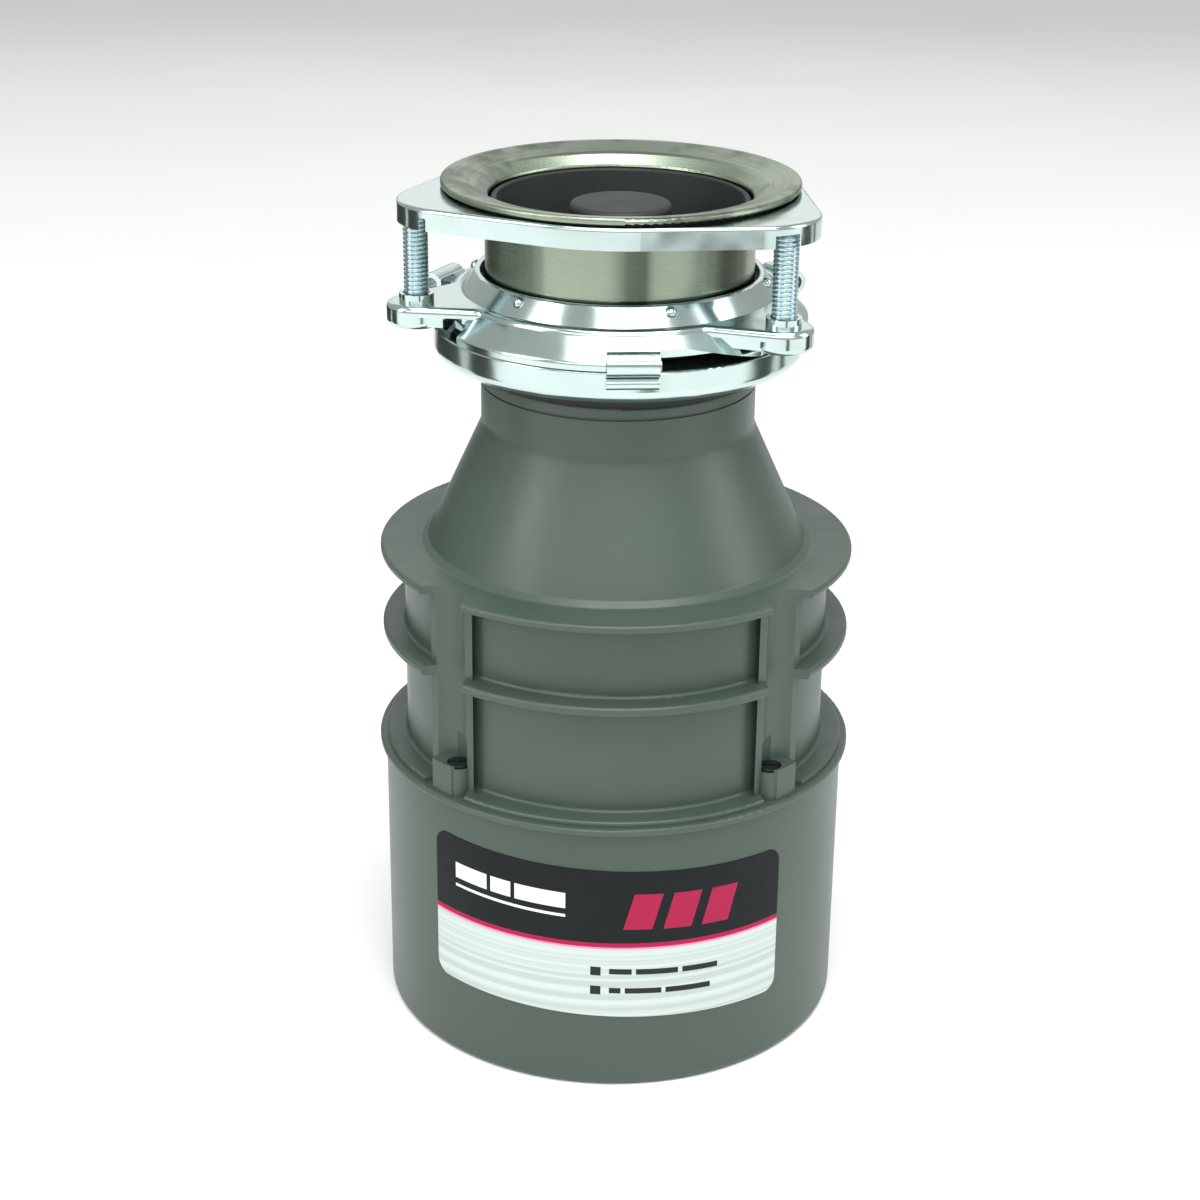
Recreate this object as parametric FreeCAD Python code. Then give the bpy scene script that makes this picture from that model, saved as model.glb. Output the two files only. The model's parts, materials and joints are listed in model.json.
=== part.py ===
import FreeCAD, Part
import math
import os

# Continuous-feed kitchen waste disposer with a three-screw quick-lock sink mount.
# Millimetres, +Z up. The origin is on the machine's axis, at the rim of the shell that it stands on.
# The label faces -Y and the waste outlet faces +Y.
# Angles about the axis are counted from the front, -Y, and grow towards +X.

V = FreeCAD.Vector
UP = V(0, 0, 1)

# ---------------------------------------------------------------- driving dimensions
# motor shell
SHELL_R = 78.94
SHELL_T = 1.2
SHELL_TOP = 94.2
SHELL_EDGE_R = 2.2
SHELL_LIP_R = 66.0

# container body
BODY_BOTTOM = 94.7
FOOT_R, FOOT_TOP = 81.04, 97.0
STEP_R, STEP_TOP = 78.6, 98.8
WALL_R = 71.5
WALL_T = 3.2
RIB_R, RIB_BOTTOM, RIB_TOP = 79.1, 135.6, 139.0
RIM_R, RIM_BOTTOM, RIM_TOP = 79.34, 164.2, 166.9
CONE_FOOT_R, CONE_FOOT_Z = 63.3, 168.8
NECK_R, NECK_Z, NECK_TOP = 45.2, 208.4, 226.6
NECK_WALL = 3.4
GROOVE_ANGLE, REAR_GROOVE_ANGLE = 45.5, 140.0
GROOVE_AT, GROOVE_R, GROOVE_WALL, FIN_R = 82.5, 10.7, 2.5, 74.6
PEDESTAL_AT, PEDESTAL_R, PEDESTAL_TOP = 76.2, 5.3, 108.0
BODY_SCREW_AT, SCREW_OFFSET = 74.2, 2.5
POCKET_R, POCKET_TOP = 4.0, 117.0
OUTLET_Z, OUTLET_R, OUTLET_FACE_Y = 117.5, 17.5, 72.0
OUTLET_HALF_WIDTH, OUTLET_SCREW_X = 33.0, 27.5
NIPPLE_R, NIPPLE_BORE_R, NIPPLE_Z, NIPPLE_END = 11.1, 8.5, 186.0, 78.0
NIPPLE_ANGLE = 152.0
NIPPLE_BOSS_R, NIPPLE_BOSS_END = 13.6, 63.0
# the moulding is kept as three stacked pieces, parted at the middle rib and at the rim
PARTING_LOW, PARTING_HIGH = 137.0, 166.9
GROUND_X, GROUND_Y = 31.5, 26.4

# grinding parts
CHAMBER_R = 62.95
RING_R, RING_BOTTOM, RING_TOP = 61.2, 140.2, 162.8
TABLE_R, TABLE_BOTTOM, TABLE_TOP = 60.4, 141.5, 144.0
PIN_AT, PIN_R = 38.0, 3.0
RUNNING = 0.05
GAP = 0.3

# motor
SHAFT_R, SHAFT_BOTTOM, SHAFT_TOP = 6.35, 3.0, 149.0
BUSH_R = 10.0
CORE_R, CORE_BORE_R, CORE_BOTTOM, CORE_TOP = 68.0, 38.4, 34.0, 66.0
ROTOR_R = 37.6
SLOTS = 24
BOLT_AT, BOLT_R = 63.0, 2.4
BASE_R, BASE_WEB_BOTTOM, BASE_WEB_TOP = 77.4, 6.0, 9.5
FRAME_BOTTOM, FRAME_TOP = 86.0, 93.5
BUTTON_Y, BUTTON_R = -52.0, 4.2
CABLE_X, CABLE_Y, CABLE_R = 24.0, 40.0, 11.1
LEAD_X, LEAD_Y, LEAD_R = (-14.0, -2.0), 47.0, 1.4

# sink mount
SINK_R, SINK_TOP = 57.6, 289.4
THROAT_R, SLEEVE_R, SLEEVE_BOTTOM = 42.4, 43.58, 241.0
PLATE_BOTTOM, PLATE_TOP = 279.5, 286.4
PLATE_TURN, TRAY_T = 2.5, 3.0
MOUNT_R, MOUNT_LOW = 61.5, 243.1
WEB_R, WEB_ROOT, EAR_R, EAR_BOTTOM, EAR_TOP = 54.6, 19.0, 9.6, 246.2, 253.8
PAN_R, PAN_TOP, PAN_BOTTOM = 60.6, 242.5, 232.0
CLAMP_AT, CLAMP_R, CLAMP_ANGLE = 67.5, 3.95, -72.0
LUG_ANGLE, LUG_HALF = 3.4, 8.0
STOPPER_Z, KNOB_TOP = 260.5, 281.6

# label on the front of the shell
LABEL_HALF_ANGLE, LABEL_BOTTOM, LABEL_TOP = 46.0, 26.5, 80.6

CLAMP_ANGLES = [CLAMP_ANGLE + 120 * k for k in range(3)]
GROOVE_ANGLES = [-REAR_GROOVE_ANGLE, -GROOVE_ANGLE, GROOVE_ANGLE, REAR_GROOVE_ANGLE]
REAR_SCREW, FRONT_SCREW = REAR_GROOVE_ANGLE + SCREW_OFFSET, GROOVE_ANGLE - SCREW_OFFSET
BODY_SCREW_ANGLES = [-REAR_SCREW, -FRONT_SCREW, FRONT_SCREW, REAR_SCREW]


# ---------------------------------------------------------------- shape helpers
def at(radius, angle, z=0.0):
    """Point at a radius and an angle from the front."""
    a = math.radians(angle)
    return V(radius * math.sin(a), -radius * math.cos(a), z)


def cyl(radius, low, high, x=0.0, y=0.0):
    return Part.makeCylinder(radius, high - low, V(x, y, low), UP)


def cyl_at(radius, low, high, distance, angle):
    centre = at(distance, angle)
    return cyl(radius, low, high, centre.x, centre.y)


def ring(outer, inner, low, high):
    return cyl(outer, low, high).cut(cyl(inner, low - 1, high + 1))


def box(x0, x1, y0, y1, z0, z1):
    return Part.makeBox(x1 - x0, y1 - y0, z1 - z0, V(x0, y0, z0))


def turned(shape, angle):
    """Copy of a shape turned about the axis; a positive angle goes from the front towards +X."""
    copy = shape.copy()
    copy.rotate(V(0, 0, 0), UP, angle)
    return copy


def fused(shapes):
    first, rest = shapes[0], shapes[1:]
    return first.fuse(rest).removeSplitter() if rest else first


def closed_wire(points):
    """Closed wire through corners (position, fillet radius), with an arc at each filleted corner."""
    edges = []
    ends = []
    count = len(points)
    for i, (corner, radius) in enumerate(points):
        if radius <= 0:
            ends.append((corner, corner))
            continue
        back = (points[i - 1][0] - corner).normalize()
        ahead = (points[(i + 1) % count][0] - corner).normalize()
        half = back.getAngle(ahead) / 2
        reach = radius / math.tan(half)
        centre = corner + (back + ahead).normalize() * (radius / math.sin(half))
        middle = centre + (corner - centre).normalize() * radius
        start, end = corner + back * reach, corner + ahead * reach
        ends.append((start, end))
        edges.append(Part.Arc(start, middle, end).toShape())
    for i in range(count):
        start, end = ends[i][1], ends[(i + 1) % count][0]
        if start.distanceToPoint(end) > 1e-6:
            edges.append(Part.LineSegment(start, end).toShape())
    return Part.Wire(Part.__sortEdges__(edges))


def revolved(profile):
    """Solid of revolution of a closed profile of (radius, z) or (radius, z, fillet) points."""
    points = [(V(p[0], 0, p[1]), p[2] if len(p) > 2 else 0) for p in profile]
    return Part.Face(closed_wire(points)).revolve(V(0, 0, 0), UP, 360)


def prism(outline, low, high):
    """Upright prism of a closed outline of (x, y) or (x, y, fillet) points."""
    points = [(V(p[0], p[1], low), p[2] if len(p) > 2 else 0) for p in outline]
    return Part.Face(closed_wire(points)).extrude(V(0, 0, high - low))


def lobed(base_r, lobe_at, lobe_r, low, high, angles):
    """Prism round a circle and a lobe at each angle, joined by common tangents."""
    spread = math.degrees(math.acos((base_r - lobe_r) / lobe_at))
    edges = []
    for k, angle in enumerate(angles):
        following = angle + 120
        middle = at(lobe_at, angle, low)
        first, last = middle + at(lobe_r, angle - spread), middle + at(lobe_r, angle + spread)
        edges.append(Part.Arc(first, middle + at(lobe_r, angle), last).toShape())
        foot = at(base_r, angle + spread, low)
        edges.append(Part.LineSegment(last, foot).toShape())
        far = at(base_r, following - spread, low)
        edges.append(Part.Arc(foot, at(base_r, angle + 60, low), far).toShape())
        head = at(lobe_at, following, low) + at(lobe_r, following - spread)
        edges.append(Part.LineSegment(far, head).toShape())
    return Part.Face(Part.Wire(Part.__sortEdges__(edges))).extrude(V(0, 0, high - low))


def armed(base_r, root, lobe_at, lobe_r, low, high, angles):
    """Prism of a disc with a round-ended arm at each angle; an arm tapers from an angle of root each side."""
    half, inner = base_r * math.sin(math.radians(root)), base_r * math.cos(math.radians(root))
    length = lobe_at - inner
    taper = math.acos(lobe_r / math.hypot(half, length)) - math.atan2(length, half)
    ahead, aside = lobe_at + lobe_r * math.sin(taper), lobe_r * math.cos(taper)
    shapes = [cyl(base_r, low, high)]
    for angle in angles:
        arm = prism([(half, -inner), (aside, -ahead), (-aside, -ahead), (-half, -inner)], low, high)
        shapes += [turned(arm, angle), cyl_at(lobe_r, low, high, lobe_at, angle)]
    return fused(shapes)


def hexagon(flats, low, high, x=0.0, y=0.0):
    corner = flats / math.sqrt(3)
    points = [(x + corner * math.cos(math.radians(a)), y + corner * math.sin(math.radians(a)))
              for a in range(0, 360, 60)]
    return prism(points, low, high)


def tube(points, radius, bend):
    """Round lead along straight runs joined by arcs of the bend radius."""
    edges = []
    start = points[0]
    for i in range(1, len(points) - 1):
        back = (points[i - 1] - points[i]).normalize()
        ahead = (points[i + 1] - points[i]).normalize()
        half = back.getAngle(ahead) / 2
        reach = bend / math.tan(half)
        centre = points[i] + (back + ahead).normalize() * (bend / math.sin(half))
        middle = centre + (points[i] - centre).normalize() * bend
        a, b = points[i] + back * reach, points[i] + ahead * reach
        edges.append(Part.LineSegment(start, a).toShape())
        edges.append(Part.Arc(a, middle, b).toShape())
        start = b
    edges.append(Part.LineSegment(start, points[-1]).toShape())
    path = Part.Wire(edges)
    section = Part.Wire(Part.makeCircle(radius, points[0], points[1] - points[0]))
    return path.makePipeShell([section], True, False)


def sector(inner, outer, angle0, angle1, low, high):
    """Part of a ring between two angles."""
    return turned(cyl_sector(outer, angle1 - angle0, low, high), angle0).cut(cyl(inner, low - 1, high + 1))


def cyl_sector(radius, sweep, low, high):
    shape = Part.makeCylinder(radius, high - low, V(0, 0, low), UP, sweep)
    return turned(shape, -90)


# ---------------------------------------------------------------- housing
def motor_shell():
    inner = SHELL_R - SHELL_T
    return revolved([
        (SHELL_LIP_R, 0), (SHELL_R, 0, SHELL_EDGE_R), (SHELL_R, SHELL_TOP),
        (inner, SHELL_TOP), (inner, SHELL_T, SHELL_EDGE_R - SHELL_T), (SHELL_LIP_R, SHELL_T)])


def label_plate():
    """Printed plate bent round the front of the shell, with rounded corners."""
    skin = ring(SHELL_R + 0.3, SHELL_R, LABEL_BOTTOM, LABEL_TOP)
    half = SHELL_R * math.sin(math.radians(LABEL_HALF_ANGLE))
    window = [(V(-half, 0, LABEL_BOTTOM), 5), (V(half, 0, LABEL_BOTTOM), 5),
              (V(half, 0, LABEL_TOP), 5), (V(-half, 0, LABEL_TOP), 5)]
    cutter = Part.Face(closed_wire(window)).extrude(V(0, -2 * SHELL_R, 0))
    return skin.common(cutter)


def container():
    """Moulded body: drain chamber, grind chamber, cone and neck, with ribs and screw grooves."""
    outside = revolved([
        (0, BODY_BOTTOM), (FOOT_R, BODY_BOTTOM, 0.7), (FOOT_R, FOOT_TOP, 0.9), (STEP_R, FOOT_TOP),
        (STEP_R, STEP_TOP, 0.8), (WALL_R, STEP_TOP, 1.2), (WALL_R, RIB_BOTTOM, 1.2),
        (RIB_R, RIB_BOTTOM, 1.2), (RIB_R, RIB_TOP, 1.2), (WALL_R, RIB_TOP, 1.2), (WALL_R, RIM_BOTTOM, 1.5),
        (RIM_R, RIM_BOTTOM, 0.8), (RIM_R, RIM_TOP, 1.0), (CONE_FOOT_R + 2.4, RIM_TOP, 1.5),
        (CONE_FOOT_R, CONE_FOOT_Z, 1.5), (NECK_R, NECK_Z, 8), (NECK_R, 222.0), (NECK_R - 0.6, 222.0),
        (NECK_R - 0.6, 223.0), (NECK_R + 0.5, 223.0, 0.3), (NECK_R + 0.5, NECK_TOP, 1.0), (0, NECK_TOP)])
    walls = []
    for angle in GROOVE_ANGLES:
        sleeve = cyl_at(GROOVE_R + GROOVE_WALL, FOOT_TOP - 1, RIM_TOP - 1, GROOVE_AT, angle)
        walls.append(sleeve.common(cyl(FIN_R, FOOT_TOP - 1, RIM_TOP - 1)))
    half = OUTLET_HALF_WIDTH
    walls.append(box(-half, half, 50, OUTLET_FACE_Y, STEP_TOP - 1, RIB_TOP - 0.4))
    nipple = Part.makeCylinder(NIPPLE_R, NIPPLE_END - 50, at(50, NIPPLE_ANGLE, NIPPLE_Z), at(1, NIPPLE_ANGLE))
    boss = Part.makeCylinder(NIPPLE_BOSS_R, NIPPLE_BOSS_END - 45, at(45, NIPPLE_ANGLE, NIPPLE_Z),
                             at(1, NIPPLE_ANGLE))
    body = outside.fuse(walls + [nipple, boss])

    for angle in GROOVE_ANGLES:
        body = body.cut(cyl_at(GROOVE_R, FOOT_TOP, RIM_TOP + 5, GROOVE_AT, angle))
    pedestals = [cyl_at(PEDESTAL_R, FOOT_TOP - 1, PEDESTAL_TOP, PEDESTAL_AT, angle).common(cyl(RIB_R, 0, 300))
                 for angle in GROOVE_ANGLES]
    bosses = [cyl_at(4.4, FOOT_TOP - 1, PEDESTAL_TOP - 1, BODY_SCREW_AT, angle) for angle in BODY_SCREW_ANGLES]
    body = body.fuse(pedestals + bosses)
    inner_cone = CONE_FOOT_R - NECK_WALL
    inner_neck = NECK_R - NECK_WALL
    drain_r = WALL_R - WALL_T
    hollow = revolved([
        (0, 0), (drain_r, 0), (drain_r, RING_BOTTOM - 3.2, 2), (CHAMBER_R, RING_BOTTOM - 3.2),
        (CHAMBER_R, RING_TOP + 0.2), (inner_cone, RING_TOP + 0.2), (inner_cone, CONE_FOOT_Z),
        (inner_neck, NECK_Z, 8), (inner_neck, 300), (0, 300)])
    body = body.cut(hollow)
    outlet = Part.makeCylinder(OUTLET_R, 40, V(0, 50, OUTLET_Z), V(0, 1, 0))
    screws = [Part.makeCylinder(2.4, 20, V(x, OUTLET_FACE_Y - 7, OUTLET_Z), V(0, 1, 0))
              for x in (-OUTLET_SCREW_X, OUTLET_SCREW_X)]
    bore = Part.makeCylinder(NIPPLE_BORE_R, 40, at(45, NIPPLE_ANGLE, NIPPLE_Z), at(1, NIPPLE_ANGLE))
    cuts = [outlet, bore] + screws
    for angle in BODY_SCREW_ANGLES:
        cuts.append(cyl_at(POCKET_R, PEDESTAL_TOP - 2.5, POCKET_TOP, BODY_SCREW_AT, angle))
        cuts.append(cyl_at(2.2, BODY_BOTTOM - 1, PEDESTAL_TOP, BODY_SCREW_AT, angle))
    return body.cut(cuts).removeSplitter()


def container_part(low, high):
    return container().common(cyl(2 * RIM_R, low, high))


def container_screws():
    """Four pan-head screws that hold the container body down on the motor."""
    screws = []
    for angle in BODY_SCREW_ANGLES:
        seat = PEDESTAL_TOP - 2.5
        head = cyl_at(3.5, seat, seat + 2.4, BODY_SCREW_AT, angle)
        shank = cyl_at(1.9, FRAME_BOTTOM + 0.5, seat, BODY_SCREW_AT, angle)
        slot = box(-5, 5, -0.5, 0.5, seat + 1.2, seat + 3)
        slot.translate(at(BODY_SCREW_AT, angle))
        screws.append(head.fuse(shank).cut(slot).removeSplitter())
    return Part.makeCompound(screws)


def dishwasher_knockout():
    """Plug moulded into the dishwasher inlet, driven out when a hose is fitted."""
    return Part.makeCylinder(NIPPLE_BORE_R, 1.6, at(62, NIPPLE_ANGLE, NIPPLE_Z), at(1, NIPPLE_ANGLE))


def body_gasket():
    outer = BASE_R
    gasket = ring(outer, WALL_R - 3, FRAME_TOP, BODY_BOTTOM)
    return gasket.cut([cyl_at(2.2, FRAME_TOP - 1, BODY_BOTTOM + 1, BODY_SCREW_AT, a) for a in BODY_SCREW_ANGLES])


def splash_baffle():
    """Rubber seal on the neck, with the slit flaps of the splash guard."""
    seal = revolved([
        (NECK_R - NECK_WALL - 1.4, 216), (NECK_R - NECK_WALL, 216), (NECK_R - NECK_WALL, NECK_TOP),
        (NECK_R + 1.4, NECK_TOP), (48.6, NECK_TOP + 1.5, 0.6), (48.6, 235.2), (54.2, 235.2, 0.8),
        (54.2, 240.4, 1.2), (NECK_R - NECK_WALL - 1.4, 240.4)])
    flap = ring(NECK_R - NECK_WALL - 1.0, 9, 236.4, 238.0)
    slits = [turned(box(-0.4, 0.4, -37, -8, 235, 240), 60 * k) for k in range(6)]
    return seal.fuse(flap.cut(slits)).removeSplitter()


def grind_ring():
    """Stationary shredder ring with cutting notches along its lower edge."""
    body = ring(CHAMBER_R, RING_R, RING_BOTTOM, RING_TOP)
    notch = box(-2.5, 2.5, -RING_R - 10, -RING_R + 5, RING_BOTTOM - 1, RING_BOTTOM + 7.5)
    body = body.cut([turned(notch, 15 * k) for k in range(24)])
    window = box(-1.6, 1.6, -RING_R - 10, -RING_R + 5, RING_BOTTOM + 11, RING_TOP - 4)
    return body.cut([turned(window, 7.5 + 30 * k) for k in range(12)])


def upper_end_frame():
    """Cast motor end that is also the floor of the drain chamber, with the bearing tower."""
    frame = revolved([
        (0, FRAME_BOTTOM), (BASE_R, FRAME_BOTTOM, 0.8), (BASE_R, FRAME_TOP), (66, FRAME_TOP),
        (58, FRAME_TOP + 1.5, 3), (24, FRAME_TOP + 4, 6), (16.5, 133.5, 1.5), (0, 133.5)])
    posts = [cyl_at(5.0, CORE_TOP, FRAME_BOTTOM + 1, BOLT_AT, a) for a in GROOVE_ANGLES]
    ribs = [turned(box(-1.5, 1.5, 18, 60, 80, FRAME_BOTTOM + 1), a) for a in (0, 60, 120, 180, 240, 300)]
    frame = frame.fuse(posts + ribs + [cyl(15, 83, FRAME_BOTTOM + 1)])
    cuts = [cyl(BUSH_R, 100, 127), cyl(11, 126.5, 134), cyl(SHAFT_R + 1.2, 70, 101)]
    cuts += [cyl_at(BOLT_R, CORE_TOP - 1, 91, BOLT_AT, a) for a in GROOVE_ANGLES]
    cuts += [cyl_at(1.9, FRAME_BOTTOM + 0.5, FRAME_TOP + 1, BODY_SCREW_AT, a) for a in BODY_SCREW_ANGLES]
    cuts.append(box(14, 46, -10, 10, 79, FRAME_BOTTOM))
    return frame.cut(cuts).removeSplitter()


def bush(low, high):
    """Oil-impregnated sleeve bearing."""
    return ring(BUSH_R, SHAFT_R + RUNNING, low, high)


def shaft_seal():
    seal = ring(11, SHAFT_R + RUNNING, 127, 132.5)
    return seal.cut(ring(9.4, 7.8, 130, 133))


def stator_core():
    """Stack of laminations with open slots towards the rotor."""
    core = ring(CORE_R, CORE_BORE_R, CORE_BOTTOM, CORE_TOP)
    mouth = box(-1.3, 1.3, -CORE_BORE_R - 3, -CORE_BORE_R + 2, CORE_BOTTOM - 1, CORE_TOP + 1)
    pocket = sector(CORE_BORE_R + 2, 54, -4.2, 4.2, CORE_BOTTOM - 1, CORE_TOP + 1)
    cuts = [turned(mouth.fuse(pocket), 360 / SLOTS * k) for k in range(SLOTS)]
    cuts += [cyl_at(BOLT_R + 0.2, CORE_BOTTOM - 1, CORE_TOP + 1, BOLT_AT, a) for a in GROOVE_ANGLES]
    return core.cut(cuts)


def stator_windings():
    """Wound coils: each lies in two slots and arches over the teeth between them at both ends."""
    coils = []
    pitch = 360 / SLOTS
    for k in range(SLOTS // 3):
        first = 3 * k * pitch
        legs = [sector(43.0, 53.4, first + s * pitch - 3.6, first + s * pitch + 3.6, 25, 75) for s in (0, 2)]
        arches = [sector(43.0, 53.4, first - 3.6, first + 2 * pitch + 3.6, low, low + 8.0) for low in (25, 67)]
        coils.append(fused(legs + arches))
    return Part.makeCompound(coils)


def lower_end_frame():
    """Cast motor base: bearing hub, bolt posts, wiring compartment, reset hole and cable entry."""
    frame = revolved([
        (0, BASE_WEB_BOTTOM), (71, BASE_WEB_BOTTOM, 1.5), (71, SHELL_T, 0), (BASE_R - 1.2, SHELL_T),
        (BASE_R, SHELL_T + 1.2), (BASE_R, BASE_WEB_TOP), (0, BASE_WEB_TOP)])
    hub = cyl(15, 4.0, 26.0)
    posts = [cyl_at(5.0, BASE_WEB_TOP - 1, CORE_BOTTOM, BOLT_AT, a) for a in GROOVE_ANGLES]
    ribs = [turned(box(-1.2, 1.2, 14, 70, 3.6, BASE_WEB_BOTTOM + 1), a) for a in (75, 105, 255, 285)]
    compartment = box(-27, 37, 22, 59, BASE_WEB_TOP - 1, 22).cut(box(-25, 35, 24, 57, BASE_WEB_TOP, 20.4))
    frame = frame.fuse([hub, compartment] + posts + ribs)
    cuts = [cyl(BUSH_R, 6.0, 27.0), cyl(SHAFT_R + 0.6, 0, 8)]
    cuts += [cyl_at(BOLT_R, 0, CORE_BOTTOM + 1, BOLT_AT, a) for a in GROOVE_ANGLES]
    cuts += [cyl_at(4.6, 0, BASE_WEB_BOTTOM, BOLT_AT, a) for a in GROOVE_ANGLES]
    cuts.append(cyl(BUTTON_R + 0.4, 0, 10, 0, BUTTON_Y))
    cuts.append(box(-22, 6, 27, 53, 5, 10))
    cuts += [cyl(LEAD_R + 0.2, 20, 23, x, LEAD_Y) for x in LEAD_X]
    cuts.append(cyl(CABLE_R, 5, 10, CABLE_X, CABLE_Y))
    cuts.append(cyl(1.6, 5, 12, -8, 57.5))
    cuts.append(cyl(1.8, 5, 12, GROUND_X, GROUND_Y))
    return frame.cut(cuts).removeSplitter()


def wiring_cover():
    plate = prism([(-25, 24.5, 2), (9, 24.5, 2), (9, 60.5, 2), (-25, 60.5, 2)],
                  BASE_WEB_BOTTOM - 1.2, BASE_WEB_BOTTOM)
    lip = box(-21.6, 5.6, 27.4, 52.6, BASE_WEB_BOTTOM - 0.5, BASE_WEB_BOTTOM + 2)
    lip = lip.cut(box(-20.4, 4.4, 28.6, 51.4, BASE_WEB_BOTTOM - 1, BASE_WEB_BOTTOM + 3))
    return plate.fuse(lip).cut(cyl(1.8, 0, 12, -8, 57.5)).removeSplitter()


def slotted_screw(head_r, shank_r, low, seat, high, x, y):
    """Screw driven upwards from below, with a slotted head."""
    slot = box(x - head_r, x + head_r, y - 0.4, y + 0.4, low - 1, low + 0.9)
    return cyl(head_r, low, seat, x, y).fuse(cyl(shank_r, seat, high, x, y)).cut(slot).removeSplitter()


def through_bolts():
    """Four long bolts that clamp the two end frames on the stator core."""
    bolts = []
    for angle in GROOVE_ANGLES:
        p = at(BOLT_AT, angle)
        head = hexagon(7.0, 3.0, BASE_WEB_BOTTOM, p.x, p.y)
        bolts.append(head.fuse(cyl(BOLT_R - 0.2, BASE_WEB_BOTTOM, 90, p.x, p.y)).removeSplitter())
    return Part.makeCompound(bolts)


def overload_protector():
    """Thermal overload switch that the reset button acts on."""
    case = prism([(-11, -63, 2), (11, -63, 2), (11, -41, 2), (-11, -41, 2)], BASE_WEB_TOP, 22.5)
    pocket = cyl(BUTTON_R + 0.4, BASE_WEB_TOP - 1, 14.5, 0, BUTTON_Y)
    tabs = [box(x - 2.5, x + 2.5, -45.4, -44.6, 22, 24.6) for x in (-6, 6)]
    return case.cut(pocket).fuse(tabs).removeSplitter()


def start_switch():
    """Starting switch under the upper end frame; its contact arm rests near the centrifugal sleeve."""
    board = box(24, 44, -8, 8, 83.2, FRAME_BOTTOM)
    block = box(30, 42, -6, 6, 76.5, 83.2)
    arm = box(17.5, 31, -2.5, 2.5, 81.6, 82.4)
    return fused([board, block, arm])


def motor_lead(x, sideways):
    """Insulated lead from the windings down into the wiring compartment."""
    points = [V(x, LEAD_Y, 25), V(x, LEAD_Y, 17), V(x + sideways, 40, 14.5), V(x + sideways, 31, 14.5)]
    return tube(points, LEAD_R, 2.6)


# ---------------------------------------------------------------- rotor
def rotor_shaft():
    shaft = cyl(SHAFT_R, SHAFT_BOTTOM, SHAFT_TOP)
    shaft = shaft.cut(hexagon(6.4, SHAFT_BOTTOM - 1, SHAFT_BOTTOM + 8))
    return shaft.cut(ring(SHAFT_R + 1, SHAFT_R - 0.4, 28.2, 29.0))


def rotor_core():
    """Rotor laminations with round bar holes near the rim."""
    core = ring(ROTOR_R, SHAFT_R, CORE_BOTTOM - 0.5, CORE_TOP + 0.5)
    return core.cut([cyl_at(2.0, 0, 100, ROTOR_R - 3.4, 360 / 28 * k) for k in range(28)])


def rotor_cage():
    """Cast aluminium cage: bars through the core, an end ring and stub vanes at each end."""
    bars = [cyl_at(2.0, 31, 69, ROTOR_R - 3.4, 360 / 28 * k) for k in range(28)]
    low, high = CORE_BOTTOM - 0.5, CORE_TOP + 0.5
    rings = [ring(ROTOR_R - 0.8, 24, low - 4.5, low), ring(ROTOR_R - 0.8, 24, high, high + 4.5)]
    vane = box(-1.0, 1.0, -35, -26, 0, 2)
    vanes = []
    for k in range(8):
        for z in (low - 6.4, high + 4.4):
            blade = turned(vane, 45 * k)
            blade.translate(V(0, 0, z))
            vanes.append(blade)
    return rings[0].fuse(bars + rings[1:] + vanes).removeSplitter()


def governor_plate():
    """Plate of the centrifugal mechanism, pressed on the shaft, with two flyweights."""
    plate = ring(17, SHAFT_R, 73.2, 74.4)
    weights = [sector(20, 24, a - 35, a + 35, 71.5, 78) for a in (0, 180)]
    arms = [box(-2, 2, -21, -15, 73.2, 74.4), box(-2, 2, 15, 21, 73.2, 74.4)]
    return plate.fuse(weights + arms).removeSplitter()


def centrifugal_sleeve():
    """Sleeve that draws back along the shaft at speed and lets the start switch open."""
    return revolved([(SHAFT_R + 0.4, 76.8), (9.5, 76.8), (9.5, 79.4), (15.5, 79.4, 0.5), (15.5, 81.0, 0.5),
                     (SHAFT_R + 0.4, 81.0)])


def turntable():
    """Grinding disc with a hub, a turned-down rim, pin holes and drain holes."""
    disc = revolved([
        (SHAFT_R, 136.8), (14, 136.8, 1), (15, TABLE_BOTTOM, 1), (TABLE_R - 4, TABLE_BOTTOM),
        (TABLE_R - 3, TABLE_BOTTOM - 1.2), (TABLE_R, TABLE_BOTTOM - 1.2), (TABLE_R, TABLE_TOP, 0.6),
        (SHAFT_R, TABLE_TOP)])
    cuts = [cyl(PIN_R, 130, 150, x, 0) for x in (-PIN_AT, PIN_AT)]
    cuts += [cyl_at(2.2, 130, 150, 52, 30 + 60 * k) for k in range(6)]
    return disc.cut(cuts)


def turntable_nut():
    nut = hexagon(16, TABLE_TOP, 148).fuse(cyl(8, 147, 150.5))
    dome = Part.makeSphere(11.5, V(0, 0, 140.0))
    return nut.common(dome.fuse(cyl(12, 140, 148))).cut(cyl(SHAFT_R, 130, SHAFT_TOP)).removeSplitter()


def slinger():
    return revolved([(SHAFT_R, 134.2), (14.2, 134.2), (14.2, 134.9), (12.8, 135.6), (SHAFT_R, 135.6)])


def thrust_washer():
    return ring(BUSH_R, SHAFT_R + RUNNING, 26.2, 27.2)


def impeller_pins():
    """Rivets that the two impellers swivel on."""
    pins = []
    for x in (-PIN_AT, PIN_AT):
        shank = cyl(PIN_R, TABLE_BOTTOM - 0.5, 150.0, x, 0)
        head = cyl(5.4, 150.0, 152.0, x, 0)
        foot = cyl(4.4, TABLE_BOTTOM - 1.7, TABLE_BOTTOM, x, 0)
        pins.append(shank.fuse([head, foot]).removeSplitter())
    return Part.makeCompound(pins)


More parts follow.
